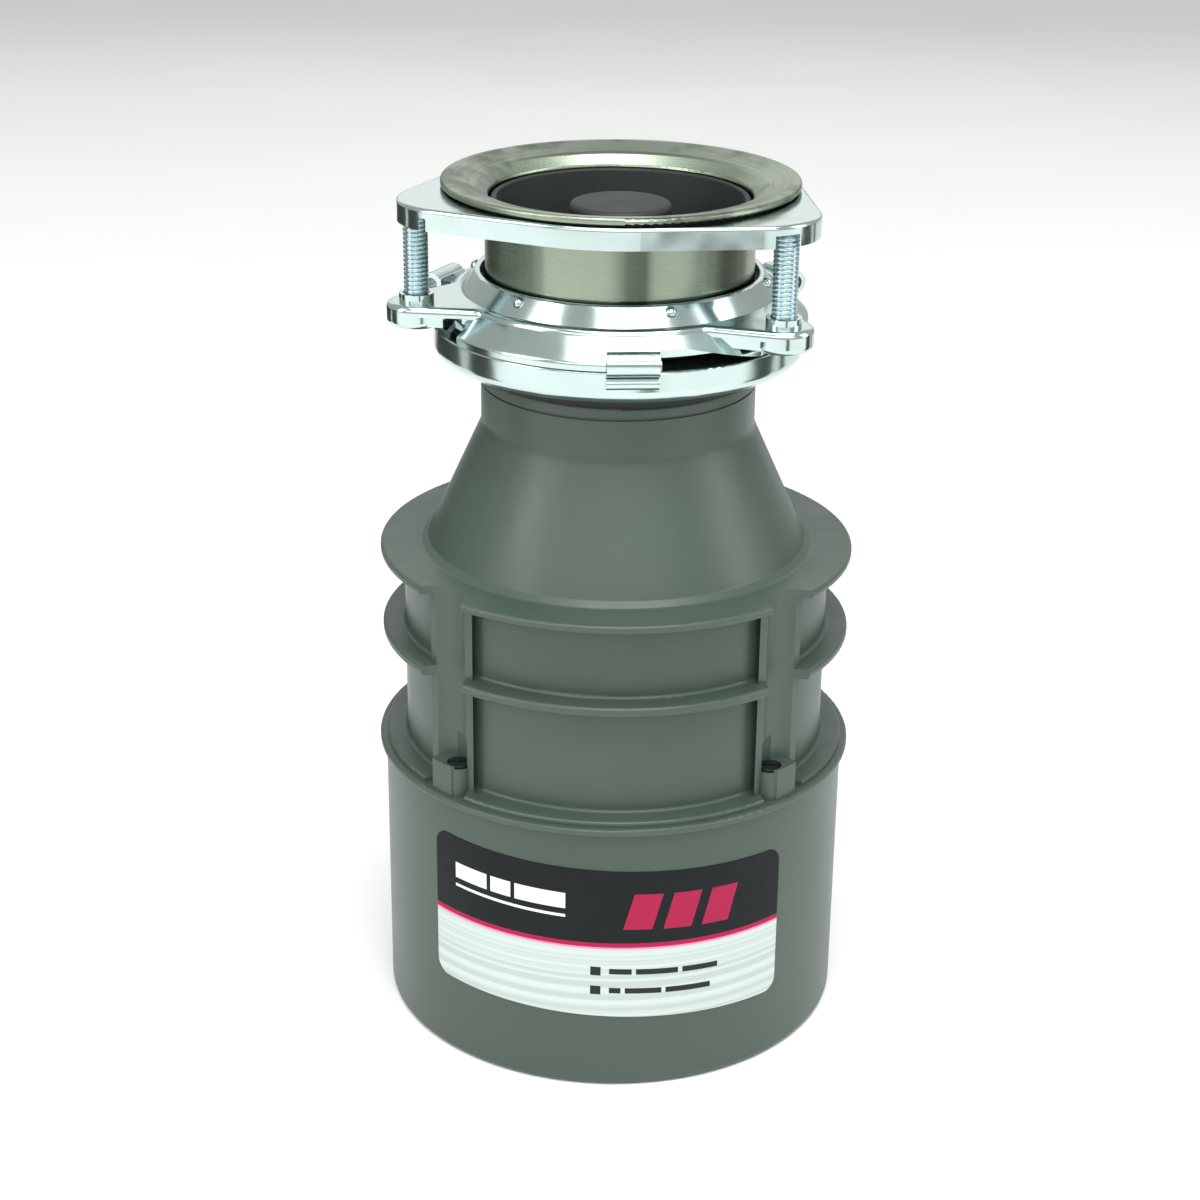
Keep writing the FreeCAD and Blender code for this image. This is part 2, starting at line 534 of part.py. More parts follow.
def impeller(side):
    """Swivelling impeller lug: a flat bar on its pin, with an upright toe at the outer end."""
    low = TABLE_TOP + GAP
    bar = prism([(-8.5, -7.5, 6), (16, -7.5, 3), (19.5, -3.5, 2), (19.5, 3.5, 2), (16, 7.5, 3), (-8.5, 7.5, 6)],
                low, low + 5.4)
    toe = prism([(9.5, -7.5, 1), (16, -7.5, 3), (19.5, -3.5, 2), (19.5, 3.5, 2), (16, 7.5, 3), (9.5, 7.5, 1)],
                low, low + 11.5)
    lug = bar.fuse(toe).cut(cyl(PIN_R + RUNNING, 140, 160)).removeSplitter()
    lug.rotate(V(0, 0, 0), UP, 0 if side > 0 else 180)
    lug.translate(V(side * PIN_AT, 0, 0))
    return lug


def reset_button():
    return revolved([(0, 1.4), (BUTTON_R, 1.4, 0.8), (BUTTON_R, 11.2), (0, 11.2)])


# ---------------------------------------------------------------- sink mount
def sink_flange():
    """Spun stainless flange with a rolled rim, a dished face and the long throat sleeve."""
    return revolved([
        (SINK_R - 1.8, SINK_TOP - 2.4, 0.5), (SINK_R, SINK_TOP - 2.4, 0.8), (SINK_R, SINK_TOP - 0.2, 0.9),
        (SINK_R - 2.4, SINK_TOP, 0.6), (46.2, SINK_TOP - 2.2, 3.2), (THROAT_R, SINK_TOP - 5.6, 1.5),
        (THROAT_R, SLEEVE_BOTTOM), (SLEEVE_R, SLEEVE_BOTTOM), (SLEEVE_R, 249.8), (SLEEVE_R - 0.6, 249.8),
        (SLEEVE_R - 0.6, 252.2), (SLEEVE_R, 252.2),
        (SLEEVE_R, SINK_TOP - 4.6, 2.2), (46.6, SINK_TOP - 3.4, 2), (SINK_R - 2.4, SINK_TOP - 1.2)])


def fiber_gasket():
    """Flat fibre washer between the sink and the backup flange."""
    return ring(55.0, 52.2, PLATE_TOP, PLATE_TOP + 0.45)


def backup_flange():
    """Stamped three-lobed plate: a shallow tray, open below, that the clamp screws bear on."""
    lobes = [angle + PLATE_TURN for angle in CLAMP_ANGLES]
    body = lobed(58.2, 52.5, 21.0, PLATE_BOTTOM, PLATE_TOP, lobes)
    rims = [e for e in body.Edges if abs(e.BoundBox.ZMin - PLATE_TOP) < 0.01 and e.BoundBox.ZLength < 0.01]
    body = body.makeFillet(1.2, rims)
    hollow = lobed(55.6, 51.1, 21.0, PLATE_BOTTOM - 1, PLATE_TOP - TRAY_T, lobes).cut(cyl(47.5, 270, 290))
    bore = SLEEVE_R + 1.4
    throat = revolved([(0, 270), (bore, 270), (bore, PLATE_TOP - 1.9), (bore + 1.5, PLATE_TOP - 1.0),
                       (50.6, PLATE_TOP - 0.2), (50.6, 290), (0, 290)])
    body = body.cut([hollow, throat])
    for angle in CLAMP_ANGLES:
        for way in (-48, 97):
            notch = box(-4.0, 4.0, -16, -2, PLATE_BOTTOM - 1, PLATE_TOP - TRAY_T)
            notch.rotate(V(0, 0, 0), UP, angle + way)
            notch.translate(at(CLAMP_AT, angle))
            body = body.cut(notch)
    return body.removeSplitter()


def mounting_ring():
    """Upper ring: collar, three-cornered web with a rolled edge, shoulder, skirt, and ears for the screws."""
    dish = revolved([
        (45.0, 252.6), (48.0, 252.6), (48.0, 251.2), (51.2, 251.2, 0.8), (53.2, 250.9, 0.8), (59.9, 244.5, 0.8),
        (59.9, MOUNT_LOW), (MOUNT_R, MOUNT_LOW), (MOUNT_R, 245.3, 1.5), (54.8, 251.8, 0.6), (53.6, 253.2, 0.5),
        (51.2, 252.8, 0.5), (46.8, 259.5, 0.9), (45.0, 259.5, 0.7)])
    inside = revolved([(0, 240), (59.9, 240), (59.9, 244.5), (53.2, 250.9), (51.2, 251.2), (0, 251.2)])
    web = armed(WEB_R, WEB_ROOT, CLAMP_AT, EAR_R, EAR_TOP - 3.2, EAR_TOP, CLAMP_ANGLES)
    roots = [at(WEB_R, angle + way * WEB_ROOT, EAR_TOP) for angle in CLAMP_ANGLES for way in (-1, 1)]
    corners = [e for e in web.Edges if e.BoundBox.ZLength > 3 and min(e.Vertexes[-1].Point.distanceToPoint(p)
               for p in [r - V(0, 0, r.z - e.Vertexes[-1].Point.z) for r in roots]) < 0.05]
    web = web.makeFillet(5.0, corners)
    rims = [e for e in web.Edges if abs(e.BoundBox.ZMin - EAR_TOP) < 0.01 and e.BoundBox.ZLength < 0.01]
    web = web.makeFillet(2.0, rims)
    wall = armed(WEB_R - 1.4, 17.6, CLAMP_AT, EAR_R - 1.4, EAR_BOTTOM + 1.0, EAR_TOP - 3, CLAMP_ANGLES)
    ear = revolved([(0, EAR_BOTTOM), (EAR_R, EAR_BOTTOM, 2.2), (EAR_R, EAR_TOP - 3), (0, EAR_TOP - 3)])
    ears = [ear.translated(at(CLAMP_AT, a)).cut(cyl(CLAMP_AT - 2.5, 240, 260)) for a in CLAMP_ANGLES]
    under = armed(WEB_R - 2.9, 16.0, CLAMP_AT, EAR_R - 2.9, 240, EAR_TOP - 1.6, CLAMP_ANGLES)
    arms = web.fuse([wall] + ears).cut([under, inside, cyl(51.8, 240, 260)])
    collars = [cyl_at(5.6, EAR_TOP - 1.6, EAR_TOP + 2.6, CLAMP_AT, a) for a in CLAMP_ANGLES]
    dimples = [Part.makeSphere(2.0, at(47.6, 60 * k - 41, 257.2)) for k in range(6)]
    ring_shape = dish.fuse([arms] + collars + dimples)
    cuts = [cyl_at(CLAMP_R + 0.3, 240, 262, CLAMP_AT, a) for a in CLAMP_ANGLES]
    cuts += [cyl_at(EAR_R - 2.9, 240, 250.2, CLAMP_AT, a) for a in CLAMP_ANGLES]
    for k in range(3):
        lug = LUG_ANGLE + 120 * k
        cuts.append(turned(lock_window(), lug))
    return ring_shape.cut(cuts).removeSplitter()


def lock_window():
    """Cutter for one lock opening in the skirt, for a lug whose middle is at the front."""
    first, last, high, low = 8.6, 43.6, 250.6, MOUNT_LOW - 0.4
    slot = sector(58, 63, -6.4, first + 0.5, 246.0, 248.4)
    middle = (first + last) / 2
    fall = math.degrees(math.atan((high - low) / (2 * MOUNT_R * math.sin(math.radians((last - first) / 2)))))
    ramp = box(-40, 40, -80, -40, -20, 0)
    ramp.rotate(V(0, 0, 0), V(0, 1, 0), fall)
    ramp.translate(V(0, 0, (high + low) / 2))
    wedge = sector(58, 63, first, last, low - 1, high + 1).common(turned(ramp, middle))
    relief = sector(58, 63, -67.0 + 0.6, -60.0 + 0.6, low - 1, 250.8)
    return fused([slot, wedge]).fuse(relief)


def snap_ring():
    """Spring wire ring in the sleeve's groove; it holds the mounting ring up."""
    wire = ring(47.4, SLEEVE_R - 0.6, 250.0, 252.0)
    return wire.cut(box(-4, 4, 30, 60, 240, 260))


def lower_mounting_ring():
    """Pressed pan round the neck seal, with three rolled lugs that lock into the upper ring."""
    pan = revolved([
        (49.2, PAN_BOTTOM), (PAN_R, PAN_BOTTOM, 4.2), (PAN_R, PAN_TOP, 0.6), (PAN_R - 1.7, PAN_TOP, 0.6),
        (PAN_R - 1.7, PAN_BOTTOM + 1.7, 2.6), (49.2, PAN_BOTTOM + 1.7)])
    shapes = [pan]
    half = LUG_HALF
    for k in range(3):
        tab = box(-half, half, -64.0, -62.4, 238.8, 249.4)
        foot = box(-half, half, -64.0, -58.6, 238.8, 241.6)
        roll = Part.makeCylinder(3.9, 2 * half, V(-half, -66.2, 247.0), V(1, 0, 0))
        hem = Part.makeCylinder(2.0, 2 * half, V(-half, -65.2, 240.8), V(1, 0, 0))
        bore = Part.makeCylinder(2.3, 2 * half + 2, V(-half - 1, -66.2, 247.0), V(1, 0, 0))
        hook = box(-3.6, 4.6, -63.0, -58.2, 246.4, 247.8)
        lug = fused([tab, foot, roll, hem]).cut([bore, cyl(PAN_R - 1.5, 236, 260)]).fuse(hook)
        shapes.append(turned(lug, LUG_ANGLE + 120 * k))
    return shapes[0].fuse(shapes[1:]).removeSplitter()


def mounting_screw(angle):
    """Clamp screw: slotted head in the ear's hollow, thread through the collar, tip under the plate."""
    p = at(CLAMP_AT, angle)
    tip = PLATE_TOP - TRAY_T - 0.4
    point = Part.makeCone(CLAMP_R - 0.8, CLAMP_R, 0.8, V(p.x, p.y, tip), V(0, 0, -1))
    shank = point.fuse(cyl(CLAMP_R, 249.5, tip - 0.8, p.x, p.y))
    head = cyl(6.2, 246.4, 249.5, p.x, p.y)
    slot = box(p.x - 7, p.x + 7, p.y - 0.7, p.y + 0.7, 246, 248)
    return head.fuse(shank).cut(slot).removeSplitter()


def stopper():
    """Throat stopper: a cup with a wide lip, a flat floor and a round knob to lift it by."""
    return revolved([
        (0, STOPPER_Z), (40.4, STOPPER_Z, 3), (41.6, STOPPER_Z + 21, 1), (41.6, STOPPER_Z + 22.4, 0.6),
        (39.8, STOPPER_Z + 22.4, 0.6), (38.4, STOPPER_Z + 3, 2), (12, STOPPER_Z + 2.5, 3), (12, KNOB_TOP - 6.6, 2),
        (16.5, KNOB_TOP - 5.1, 1), (16.5, KNOB_TOP - 0.6, 1.8), (0, KNOB_TOP)])


def stopper_seal():
    """Rubber ring pushed over the foot of the stopper."""
    return revolved([(36, STOPPER_Z - 1.6), (40.2, STOPPER_Z - 1.6, 0.5), (40.2, STOPPER_Z), (36, STOPPER_Z)])


NODES = {
    "motor_shell": motor_shell,
    "label_plate": label_plate,
    "container_drain_chamber": lambda: container_part(0, PARTING_LOW),
    "container_grind_chamber": lambda: container_part(PARTING_LOW, PARTING_HIGH),
    "container_cone": lambda: container_part(PARTING_HIGH, 300),
    "container_screws": container_screws,
    "dishwasher_knockout": dishwasher_knockout,
    "body_gasket": body_gasket,
    "splash_baffle": splash_baffle,
    "grind_ring": grind_ring,
    "upper_end_frame": upper_end_frame,
    "upper_bearing": lambda: bush(100, 127),
    "lower_bearing": lambda: bush(6.0, 26.0),
    "shaft_seal": shaft_seal,
    "stator_core": stator_core,
    "stator_windings": stator_windings,
    "lower_end_frame": lower_end_frame,
    "wiring_cover": wiring_cover,
    "wiring_cover_screw": lambda: slotted_screw(3.2, 1.6, 3.0, BASE_WEB_BOTTOM - 1.2, 11.0, -8, 57.5),
    "ground_screw": lambda: slotted_screw(3.6, 1.8, 3.6, BASE_WEB_BOTTOM, 11.0, GROUND_X, GROUND_Y),
    "through_bolts": through_bolts,
    "overload_protector": overload_protector,
    "start_switch": start_switch,
    "motor_lead_live": lambda: motor_lead(LEAD_X[0], 4),
    "motor_lead_neutral": lambda: motor_lead(LEAD_X[1], -4),
    "reset_button": lambda: reset_button().translated(V(0, BUTTON_Y, 0)),
    "rotor_shaft": rotor_shaft,
    "rotor_core": rotor_core,
    "rotor_cage": rotor_cage,
    "governor_plate": governor_plate,
    "centrifugal_sleeve": centrifugal_sleeve,
    "turntable": turntable,
    "turntable_nut": turntable_nut,
    "slinger": slinger,
    "thrust_washer": thrust_washer,
    "impeller_pins": impeller_pins,
    "impeller_right": lambda: impeller(1),
    "impeller_left": lambda: impeller(-1),
    "sink_flange": sink_flange,
    "fiber_gasket": fiber_gasket,
    "backup_flange": backup_flange,
    "mounting_ring": mounting_ring,
    "snap_ring": snap_ring,
    "lower_mounting_ring": lower_mounting_ring,
    "mounting_screw_left": lambda: mounting_screw(CLAMP_ANGLES[0]),
    "mounting_screw_right": lambda: mounting_screw(CLAMP_ANGLES[1]),
    "mounting_screw_rear": lambda: mounting_screw(CLAMP_ANGLES[2]),
    "stopper": stopper,
    "stopper_seal": stopper_seal,
}

os.makedirs("parts", exist_ok=True)
for name, make in NODES.items():
    shape = make()
    assert shape.isValid(), name
    shape.exportStep(f"parts/{name}.step")
    print(f"{name}: {len(shape.Solids)} solids, {shape.Volume / 1000:.2f} cm3")
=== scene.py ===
import json
import math

import bmesh
import bpy
from mathutils import Matrix, Vector


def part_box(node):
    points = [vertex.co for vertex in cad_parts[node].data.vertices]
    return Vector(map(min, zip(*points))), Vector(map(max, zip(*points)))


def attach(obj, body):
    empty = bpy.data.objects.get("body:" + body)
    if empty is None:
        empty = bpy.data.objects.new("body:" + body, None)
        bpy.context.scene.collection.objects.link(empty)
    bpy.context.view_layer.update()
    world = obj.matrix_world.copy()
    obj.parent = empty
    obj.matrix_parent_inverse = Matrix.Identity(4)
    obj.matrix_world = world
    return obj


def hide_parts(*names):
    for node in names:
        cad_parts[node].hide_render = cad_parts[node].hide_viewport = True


# Looks of a kitchen waste disposer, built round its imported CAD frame.
# Metres, in the frame's own axes: +Z up the rotor axis, -Y the labelled front.
# Angles about the axis are counted from the front, and grow towards +X.

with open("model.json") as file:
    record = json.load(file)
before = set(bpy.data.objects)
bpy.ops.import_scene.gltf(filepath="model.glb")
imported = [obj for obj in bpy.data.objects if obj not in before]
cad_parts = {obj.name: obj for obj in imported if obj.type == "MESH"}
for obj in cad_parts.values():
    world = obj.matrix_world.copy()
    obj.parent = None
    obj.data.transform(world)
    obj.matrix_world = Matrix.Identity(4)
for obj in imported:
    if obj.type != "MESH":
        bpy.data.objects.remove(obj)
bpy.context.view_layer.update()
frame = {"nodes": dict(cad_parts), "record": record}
MM = 0.001

# ---------------------------------------------------------------- colours (linear)
GREY_GREEN = (0.043, 0.067, 0.051)
ZINC_TINT = (0.52, 0.62, 0.61)
STAINLESS_TINT = (0.28, 0.33, 0.255)
CRIMSON = (0.33, 0.010, 0.055)
PINK = (0.78, 0.22, 0.38)
LABEL_BLACK = (0.006, 0.008, 0.009)
LABEL_PALE = (0.48, 0.55, 0.52)


# ---------------------------------------------------------------- camera
SENSOR_MM, LENS_MM = 36, 71.6
CAMERA_AT = (-0.00522, -0.75349, 0.45632)
CAMERA_PITCH, CAMERA_ROLL = math.radians(67.42), 0.0110


def make_camera():
    """Long lens, a little above the object, looking down at its labelled front."""
    data = bpy.data.cameras.new("camera")
    data.sensor_width, data.lens = SENSOR_MM, LENS_MM
    data.clip_start, data.clip_end = 0.02, 60
    camera = bpy.data.objects.new("camera", data)
    bpy.context.scene.collection.objects.link(camera)
    camera.matrix_world = (Matrix.Translation(CAMERA_AT) @ Matrix.Rotation(CAMERA_PITCH, 4, "X")
                           @ Matrix.Rotation(CAMERA_ROLL, 4, "Z"))
    bpy.context.scene.camera = camera


# ---------------------------------------------------------------- materials
class Look:
    """A material being built: node() adds a node and wires its inputs, and set() does the shader's own."""

    def __init__(self, name):
        self.material = bpy.data.materials.new(name)
        self.material.use_nodes = True
        self.tree = self.material.node_tree
        self.shader = self.tree.nodes["Principled BSDF"]
        self.place = self.node("ShaderNodeTexCoord").outputs["Object"]

    def node(self, kind, inputs=None, **settings):
        made = self.tree.nodes.new(kind)
        for key, value in settings.items():
            setattr(made, key, value)
        self.wire(made, inputs or {})
        return made

    def wire(self, target, inputs):
        for key, value in inputs.items():
            socket = target.inputs[key]
            if isinstance(value, bpy.types.NodeSocket):
                self.tree.links.new(value, socket)
            elif socket.type == "RGBA":
                socket.default_value = (*value, 1.0)
            else:
                socket.default_value = value

    def set(self, **inputs):
        self.wire(self.shader, {key.replace("_", " "): value for key, value in inputs.items()})

    def stretched(self, scale):
        """Object coordinates with each axis scaled."""
        return self.node("ShaderNodeMapping", {"Vector": self.place, "Scale": scale}).outputs["Vector"]

    def noise(self, scale, detail=2.0, rough=0.5, place=None):
        """Cloudy noise, as a factor; scale is in cells to the metre."""
        made = self.node("ShaderNodeTexNoise", {"Vector": place or self.place, "Scale": scale,
                                                "Detail": detail, "Roughness": rough})
        return made.outputs["Fac"]

    def level_noise(self, height, scale, detail):
        """Noise that changes with height only."""
        level = self.sums("MULTIPLY", height, scale)
        made = self.node("ShaderNodeTexNoise", {"W": level, "Scale": 1.0, "Detail": detail},
                         noise_dimensions="1D")
        return made.outputs["Fac"]

    def spread(self, value, low, high, start=0.3, end=0.7):
        """A value from start..end mapped to low..high."""
        made = self.node("ShaderNodeMapRange", {"Value": value, "From Min": start, "From Max": end,
                                                "To Min": low, "To Max": high})
        return made.outputs["Result"]

    def sums(self, operation, a, b):
        return self.node("ShaderNodeMath", {0: a, 1: b}, operation=operation).outputs[0]

    def blend(self, factor, a, b):
        """Colour a where the factor is 0 and b where it is 1."""
        made = self.node("ShaderNodeMix", data_type="RGBA")
        self.wire(made, {0: factor, 6: a, 7: b})
        return made.outputs[2]

    def bump(self, height, depth, strength=1.0, over=None):
        inputs = {"Height": height, "Distance": depth, "Strength": strength}
        if over is not None:
            inputs["Normal"] = over
        return self.node("ShaderNodeBump", inputs).outputs["Normal"]


def scaled(colour, factor):
    return tuple(channel * factor for channel in colour)


def paint_look(name, colour, rough):
    """Sprayed enamel: fine orange peel, a little dust and tone variation."""
    look = Look(name)
    cloud = look.noise(14, 4)
    fleck = look.noise(1500, 2)
    tone = look.blend(look.spread(cloud, 0, 1), scaled(colour, 0.94), scaled(colour, 1.06))
    tone = look.blend(look.spread(fleck, 0.0, 0.10, 0.55, 0.8), tone, scaled(colour, 1.6))
    peel = look.noise(420, 3, 0.55)
    look.set(Base_Color=tone, Roughness=look.spread(cloud, rough - 0.04, rough + 0.05),
             Normal=look.bump(peel, 0.00004, 0.7), Specular_IOR_Level=0.42)
    return look.material


def moulded_look(name, colour, rough=0.42):
    """Injection-moulded plastic: spark-eroded grain, faint vertical flow marks and scuffs."""
    look = Look(name)
    cloud = look.noise(18, 3)
    flow = look.noise(60, 4, 0.6, look.stretched((1, 1, 0.16)))
    tone = look.blend(look.spread(cloud, 0, 1), scaled(colour, 0.93), scaled(colour, 1.05))
    tone = look.blend(look.spread(flow, 0, 0.22), tone, scaled(colour, 1.22))
    peel = look.bump(look.noise(900, 3, 0.6), 0.00003, 0.8)
    sink = look.bump(flow, 0.00012, 0.25, peel)
    look.set(Base_Color=tone, Roughness=look.spread(flow, rough - 0.05, rough + 0.06), Normal=sink)
    return look.material


def metal_look(name, colour, rough, wave=0.0, wave_scale=45, streak=None, spots=0.0):
    """Bare or plated metal. wave bends the reflections, streak is the scale of lines left by drawing or
    turning, and spots is the depth of cast pits."""
    look = Look(name)
    cloud = look.noise(32, 4)
    tone = look.blend(look.spread(cloud, 0, 1), scaled(colour, 0.92), scaled(colour, 1.04))
    gloss = look.spread(cloud, rough * 0.8, rough * 1.25)
    normal = None
    if wave:
        normal = look.bump(look.noise(wave_scale, 2, 0.45), wave, 1.0)
    if streak:
        lines = look.noise(1.0, 3, 0.7, look.stretched(streak))
        normal = look.bump(lines, 0.00001, 1.0, normal)
        tone = look.blend(look.spread(lines, 0, 0.35), tone, scaled(colour, 0.72))
        gloss = look.sums("ADD", gloss, look.spread(lines, -0.04, 0.08))
    if spots:
        pits = look.noise(700, 3, 0.7)
        normal = look.bump(pits, spots, 1.0, normal)
        tone = look.blend(look.spread(pits, 0, 0.3), tone, scaled(colour, 0.7))
    look.set(Base_Color=tone, Metallic=1.0, Roughness=gloss)
    if normal:
        look.set(Normal=normal)
    return look.material


def turned_look(name, colour, rough):
    """Metal polished on a lathe about the rotor axis, with darker upright bands of painted reflection."""
    look = Look(name)
    split = look.node("ShaderNodeSeparateXYZ", {"Vector": look.place})
    rings = look.level_noise(split.outputs["Z"], 5200.0, 3.0)
    cloud = look.noise(40, 3)
    tone = look.blend(look.spread(rings, 0, 0.5), colour, scaled(colour, 0.80))
    tone = look.blend(look.spread(cloud, 0, 0.5), tone, scaled(colour, 1.08))
    # Painted reflection: darker upright bands in the colour stand for dark things mirrored in the sleeve.
    painted_reflection_bands = look.noise(1.0, 3, 0.6, look.stretched((44, 44, 0.6)))
    tone = look.blend(look.spread(painted_reflection_bands, 0, 0.9, 0.48, 0.62), tone, scaled(colour, 0.36))
    tangent = look.node("ShaderNodeTangent", direction_type="RADIAL", axis="Z").outputs["Tangent"]
    look.set(Base_Color=tone, Metallic=1.0, Roughness=look.spread(rings, rough - 0.04, rough + 0.06),
             Anisotropic=0.85, Tangent=tangent, Normal=look.bump(rings, 0.000004, 0.5))
    return look.material


def rubber_look(name, colour):
    """Dull black rubber with a little dust."""
    look = Look(name)
    dust = look.noise(220, 4, 0.6)
    tone = look.blend(look.spread(dust, 0.0, 0.5, 0.5, 0.8), colour, scaled(colour, 2.6))
    look.set(Base_Color=tone, Roughness=look.spread(dust, 0.56, 0.76),
             Normal=look.bump(look.noise(1400, 2), 0.00003, 0.8), Specular_IOR_Level=0.35)
    return look.material


def fibre_look(name, colour):
    """Pressed fibre sheet."""
    look = Look(name)
    mat = look.noise(900, 5, 0.75, look.stretched((1, 0.25, 1)))
    tone = look.blend(look.spread(mat, 0, 1), scaled(colour, 0.6), scaled(colour, 1.7))
    look.set(Base_Color=tone, Roughness=0.9, Normal=look.bump(mat, 0.0001, 0.9))
    return look.material


def lamination_look(name):
    """Edges of stacked steel sheets, 0.5 mm each."""
    look = Look(name)
    wave = look.node("ShaderNodeTexWave", {"Vector": look.place, "Scale": 100.0, "Distortion": 0.4},
                     bands_direction="Z").outputs["Fac"]
    rust = look.noise(90, 4, 0.65)
    tone = look.blend(look.spread(rust, 0, 0.5, 0.5, 0.75), (0.20, 0.20, 0.215), (0.15, 0.085, 0.05))
    look.set(Base_Color=tone, Metallic=0.9, Roughness=look.spread(rust, 0.38, 0.6),
             Normal=look.bump(wave, 0.00012, 0.8))
    return look.material


def winding_look(name):
    """Varnished copper wire laid side by side."""
    look = Look(name)
    wires = look.node("ShaderNodeTexWave", {"Vector": look.place, "Scale": 480.0, "Distortion": 6.0,
                                            "Detail": 2.0, "Detail Scale": 0.6},
                      bands_direction="Z").outputs["Fac"]
    tone = look.blend(look.spread(wires, 0, 1, 0, 1), (0.20, 0.055, 0.018), (0.62, 0.22, 0.08))
    look.set(Base_Color=tone, Metallic=0.85, Roughness=0.32, Normal=look.bump(wires, 0.0002, 0.9),
             Coat_Weight=0.6, Coat_Roughness=0.15)
    return look.material


LINE_LEVELS = ((0.0526, PINK), (0.0533, CRIMSON), (0.0549, LABEL_BLACK))    # height each ink starts at
LINE_SLOPE = 0.014                                                          # the line sinks towards +X


def label_look(name):
    """Printed film: black upper field, a crimson line edged with pink, and a pale lower field with faint
    bands."""
    look = Look(name)
    split = look.node("ShaderNodeSeparateXYZ", {"Vector": look.place})
    height, across = split.outputs["Z"], split.outputs["X"]
    line = look.sums("ADD", height, look.sums("MULTIPLY", across, LINE_SLOPE))
    bands = look.level_noise(height, 420.0, 1.0)
    tone = look.blend(look.spread(bands, 0, 1, 0.4, 0.6), scaled(LABEL_PALE, 0.86), scaled(LABEL_PALE, 1.06))
    for level, ink in LINE_LEVELS:
        tone = look.blend(look.sums("GREATER_THAN", line, level), tone, ink)
    scuff = look.noise(70, 5, 0.7)
    look.set(Base_Color=tone, Roughness=look.spread(scuff, 0.45, 0.6), Specular_IOR_Level=0.16,
             Normal=look.bump(scuff, 0.00003, 0.4))
    return look.material


def ink_look(name, colour):
    """Screen-printed ink, a little speckled."""
    look = Look(name)
    speck = look.noise(800, 3, 0.6)
    tone = look.blend(look.spread(speck, 0, 0.4), colour, scaled(colour, 0.82))
    look.set(Base_Color=tone, Roughness=0.5, Specular_IOR_Level=0.2)
    return look.material


def floor_look():
    look = Look("floor")
    mottle = look.noise(3, 3)
    tone = look.blend(look.spread(mottle, 0, 1), (0.84, 0.85, 0.84), (0.87, 0.88, 0.87))
    look.set(Base_Color=tone, Roughness=0.75, Specular_IOR_Level=0.2)
    return look.material


LOOKS = {
    "shell_paint": paint_look("shell_paint", GREY_GREEN, 0.36),
    "body_plastic": moulded_look("body_plastic", GREY_GREEN),
    "label_print": label_look("label_print"),
    "rubber": rubber_look("rubber", (0.016, 0.017, 0.018)),
    "stainless": turned_look("stainless", STAINLESS_TINT, 0.26),
    "grind_stainless": metal_look("grind_stainless", (0.56, 0.56, 0.56), 0.33, streak=(160, 160, 2600)),
    "bright_zinc": metal_look("bright_zinc", ZINC_TINT, 0.17, wave=0.0007, wave_scale=38),
    "screw_zinc": metal_look("screw_zinc", (0.47, 0.60, 0.64), 0.24, streak=(900, 900, 900)),
    # screw_steel is made near black as painted shade: it stands for screw heads lying in shadow.
    "screw_steel": metal_look("screw_steel", (0.045, 0.056, 0.053), 0.5, spots=0.00002),
    "cast_aluminium": metal_look("cast_aluminium", (0.52, 0.53, 0.54), 0.5, spots=0.00012),
    "bronze": metal_look("bronze", (0.55, 0.37, 0.18), 0.42, spots=0.00004),
    "lamination_steel": lamination_look("lamination_steel"),
    "winding_copper": winding_look("winding_copper"),
    "shaft_steel": metal_look("shaft_steel", (0.58, 0.58, 0.60), 0.24, streak=(300, 300, 4000)),
    "gasket_fibre": fibre_look("gasket_fibre", (0.055, 0.055, 0.052)),
    "black_plastic": moulded_look("black_plastic", (0.008, 0.013, 0.012), 0.6),
    "red_plastic": moulded_look("red_plastic", (0.50, 0.016, 0.016), 0.34),
    "lead_black": moulded_look("lead_black", (0.02, 0.02, 0.02), 0.4),
    "lead_white": moulded_look("lead_white", (0.72, 0.72, 0.68), 0.42),
    "ground_green": metal_look("ground_green", (0.03, 0.33, 0.10), 0.3, spots=0.00002),
    "nylon": moulded_look("nylon", (0.55, 0.52, 0.44), 0.5),
    "cover_zinc": metal_look("cover_zinc", (0.56, 0.58, 0.60), 0.35, wave=0.0003, spots=0.00001),
}


def dress(obj, look):
    obj.data.materials.clear()
    obj.data.materials.append(look)


def dress_nodes():
    """Every CAD node takes the look of its material slot in the record."""
    for part in frame["record"]["subparts"]:
        dress(frame["nodes"][part["node"]], LOOKS[part["material_slot"]])


# ---------------------------------------------------------------- pieces
def piece(name, vertices, faces, look, slot, body, smooth=True):
    """New mesh piece that rides a body and takes the given look; slot is not used."""
    mesh = bpy.data.meshes.new(name)
    mesh.from_pydata(vertices, [], faces)
    shape = bmesh.new()
    shape.from_mesh(mesh)
    bmesh.ops.recalc_face_normals(shape, faces=shape.faces)
    shape.to_mesh(mesh)
    shape.free()
    mesh.shade_smooth() if smooth else mesh.shade_flat()
    made = bpy.data.objects.new(name, mesh)
    bpy.context.scene.collection.objects.link(made)
    dress(made, look)
    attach(made, body)
    return made


def lathe(profile, around, turns, x, y):
    """Vertices and faces of a profile of (radius, z) turned about the upright line at x, y, with a face over
    each end. around(radius, z, angle) gives a point's radius, if it isn't the profile's."""
    vertices, faces = [], []
    last = len(profile) - 1
    for radius, z in profile:
        for k in range(turns):
            angle = 2 * math.pi * k / turns
            r = around(radius, z, angle) if around else radius
            vertices.append((x + r * math.cos(angle), y + r * math.sin(angle), z))
    for i in range(last):
        a, b = i * turns, (i + 1) * turns
        for k in range(turns):
            n = (k + 1) % turns
            faces.append((a + k, a + n, b + n, b + k))
    faces.append(tuple(range(turns)))
    faces.append(tuple(range(last * turns, (last + 1) * turns)))
    return vertices, faces


